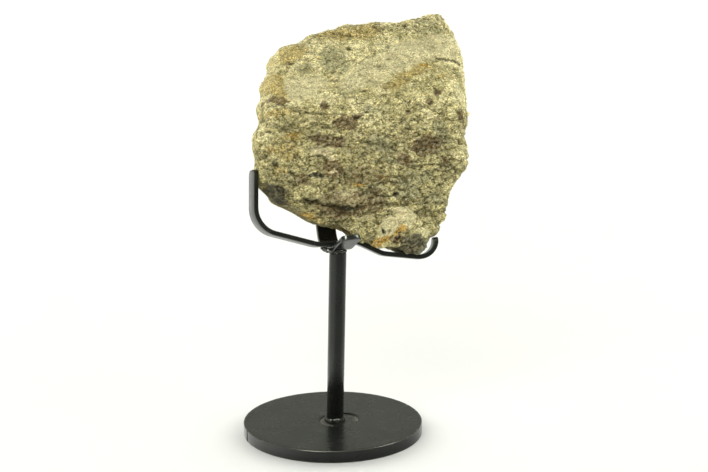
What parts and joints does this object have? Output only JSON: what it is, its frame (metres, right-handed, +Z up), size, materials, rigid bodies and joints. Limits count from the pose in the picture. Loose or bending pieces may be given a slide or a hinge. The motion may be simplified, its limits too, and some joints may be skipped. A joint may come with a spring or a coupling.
{
  "type": "fossil bone section on a display stand",
  "caption": "Thick broken section of fossil dinosaur frill bone, leaning in a bent flat-bar cradle on a round post and a round foot plate.",
  "frame": {"origin": "centre of the foot plate's flat underside, on the surface that the stand rests on", "axes": "+Z up, -Y towards the front lip and the fossil's front face, +X to the side that the fossil overhangs"},
  "size_m": [0.1405, 0.1016, 0.2322],
  "materials": {
    "fossil_stone": "rough mineralised bone, olive tan with cream and brown patches",
    "black_steel": "satin black paint over mild steel",
    "weld_bead": "weld bead under the same black paint, glossier"
  },
  "bodies": {
    "root": {"fossil": "fossil_stone", "base_disc": "black_steel", "post": "black_steel", "left_arm": "black_steel", "right_arm": "black_steel", "spine_strap": "black_steel", "foot_weld": "weld_bead", "hub_weld": "weld_bead"}
  },
  "joints": []
}
